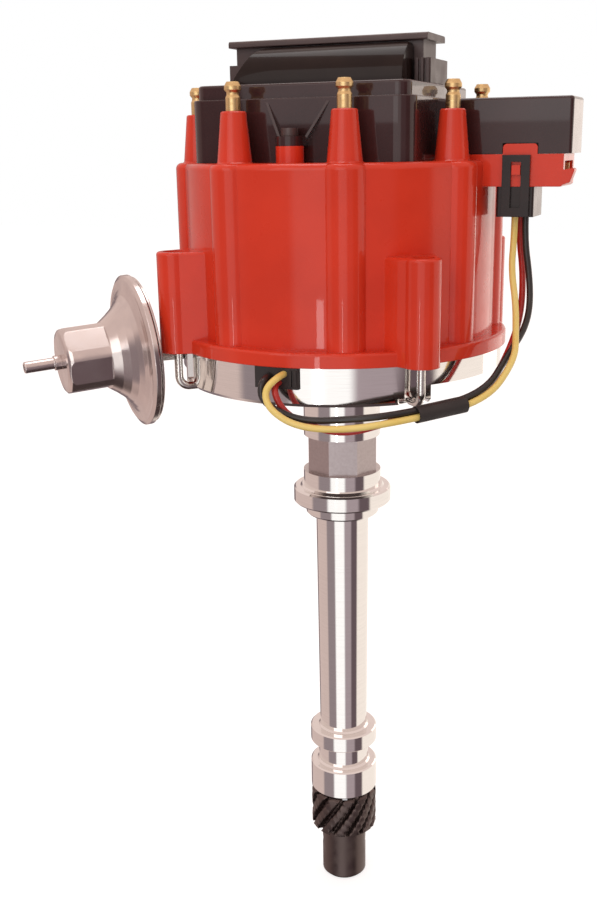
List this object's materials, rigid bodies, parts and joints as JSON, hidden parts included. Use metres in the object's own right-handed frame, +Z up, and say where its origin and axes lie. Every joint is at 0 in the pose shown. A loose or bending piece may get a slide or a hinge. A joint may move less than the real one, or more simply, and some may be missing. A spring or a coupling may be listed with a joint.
{
  "type": "ignition distributor",
  "caption": "Engine ignition distributor with a coil-in-cap top, vacuum advance can, wiring lead and a helical drive gear on its shaft.",
  "frame": {"origin": "on the shaft's axis at the underside of the seat collar, where the distributor rests on the intake manifold", "axes": "+Z up along the shaft to the cap, +X towards the cap's connector shelf"},
  "size_m": [0.2106, 0.155, 0.3946],
  "materials": {
    "cast_aluminium": "polished, with a matte as-cast octagon",
    "bronze": "machined",
    "black_moulding": "satin moulding",
    "plated_steel": "bright plated",
    "black_rubber": "matte",
    "red_moulding": "glossy moulding",
    "brass": "turned",
    "carbon": "pressed carbon",
    "black_potting": "glossy potting resin",
    "black_iron": "satin black on laminated iron",
    "black_cover": "glossy moulding",
    "black_screw": "black oxide",
    "plated_can": "bright plated pressing",
    "yellow_insulation": "soft insulation",
    "black_insulation": "soft insulation",
    "red_insulation": "soft insulation",
    "ground_steel": "ground",
    "dark_gear": "dark phosphated iron",
    "rotor_moulding": "satin moulding",
    "magnet": "bonded magnet",
    "latch_steel": "bright plated wire"
  },
  "bodies": {
    "housing": {"housing": "cast_aluminium", "upper_bushing": "bronze", "lower_bushing": "bronze", "ignition_module": "black_moulding", "module_screws": "plated_steel", "capacitor": "plated_steel", "capacitor_screw": "plated_steel", "wire_grommet": "black_rubber", "cap": "red_moulding", "spark_terminals": "brass", "carbon_contact": "carbon", "carbon_spring": "plated_steel", "coil_seal": "black_rubber", "coil_winding": "black_potting", "coil_core": "black_iron", "coil_screws": "plated_steel", "coil_cover": "black_cover", "cover_screws": "black_screw", "socket_blades": "brass", "plug_body": "black_moulding", "plug_clip": "black_moulding", "vacuum_front_shell": "plated_can", "vacuum_rear_shell": "plated_can", "vacuum_nipple": "plated_can", "vacuum_diaphragm": "black_rubber", "vacuum_spring": "plated_steel", "vacuum_bracket": "plated_steel", "bracket_screws": "plated_steel", "pickup_clip": "plated_steel", "latch_springs": "plated_steel", "wire_yellow": "yellow_insulation", "wire_black": "black_insulation", "wire_red": "red_insulation", "wire_sleeve": "black_rubber"},
    "main_shaft": {"main_shaft": "ground_steel", "drive_gear": "dark_gear", "gear_pin": "ground_steel", "thrust_washer": "ground_steel", "centre_bar": "ground_steel"},
    "advance_base": {"weight_base": "plated_steel", "trigger_wheel": "ground_steel", "rotor": "rotor_moulding", "rotor_blade": "brass", "rotor_screws": "plated_steel", "weight_spring_1": "ground_steel", "weight_spring_2": "ground_steel"},
    "weight_1": {"advance_weight_1": "plated_steel"},
    "weight_2": {"advance_weight_2": "plated_steel"},
    "pickup": {"pickup_plate": "plated_steel", "pickup_magnet": "magnet", "pickup_coil": "rotor_moulding", "pole_piece": "plated_steel"},
    "vacuum_rod": {"vacuum_rod": "plated_steel"},
    "latch_1": {"latch_1": "latch_steel"},
    "latch_2": {"latch_2": "latch_steel"},
    "latch_3": {"latch_3": "latch_steel"},
    "latch_4": {"latch_4": "latch_steel"}
  },
  "joints": [
    {"name": "shaft_spin", "type": "hinge", "parent": "housing", "child": "main_shaft", "pos_m": [0, 0, 0], "axis": [0, 0, 1], "continuous": true},
    {"name": "centrifugal_advance", "type": "hinge", "parent": "main_shaft", "child": "advance_base", "pos_m": [0, 0, 0.088], "axis": [0, 0, -1], "range_deg": [0, 12], "deforming": ["weight_spring_1", "weight_spring_2"]},
    {"name": "weight_1_swing", "type": "hinge", "parent": "advance_base", "child": "weight_1", "pos_m": [0, 0.021, 0.0909], "axis": [0, 0, -1], "range_deg": [0, 20.1]},
    {"name": "weight_2_swing", "type": "hinge", "parent": "advance_base", "child": "weight_2", "pos_m": [0, -0.021, 0.0909], "axis": [0, 0, -1], "range_deg": [0, 20.1]},
    {"name": "vacuum_advance", "type": "hinge", "parent": "housing", "child": "pickup", "pos_m": [0, 0, 0.075], "axis": [0, 0, 1], "range_deg": [0, 10], "stiffness_Nm_per_rad": 0.4},
    {"name": "rod_pull", "type": "slide", "parent": "housing", "child": "vacuum_rod", "axis": [-0.6756, -0.7373, 0], "range_m": [0, 0.00445], "deforming": ["vacuum_spring", "vacuum_diaphragm"]},
    {"name": "latch_1_turn", "type": "hinge", "parent": "housing", "child": "latch_1", "pos_m": [0.05268, 0.05268, 0.08], "axis": [0, 0, 1], "range_deg": [0, 90]},
    {"name": "latch_2_turn", "type": "hinge", "parent": "housing", "child": "latch_2", "pos_m": [-0.05268, 0.05268, 0.08], "axis": [0, 0, 1], "range_deg": [0, 90]},
    {"name": "latch_3_turn", "type": "hinge", "parent": "housing", "child": "latch_3", "pos_m": [-0.05268, -0.05268, 0.08], "axis": [0, 0, 1], "range_deg": [0, 90]},
    {"name": "latch_4_turn", "type": "hinge", "parent": "housing", "child": "latch_4", "pos_m": [0.05268, -0.05268, 0.08], "axis": [0, 0, 1], "range_deg": [0, 90]}
  ],
  "couplings": [
    {"joint": "weight_1_swing", "follows": "centrifugal_advance", "ratio": 1.6667},
    {"joint": "weight_2_swing", "follows": "centrifugal_advance", "ratio": 1.6667},
    {"joint": "rod_pull", "follows": "vacuum_advance", "m_per_rad": 0.025018}
  ]
}
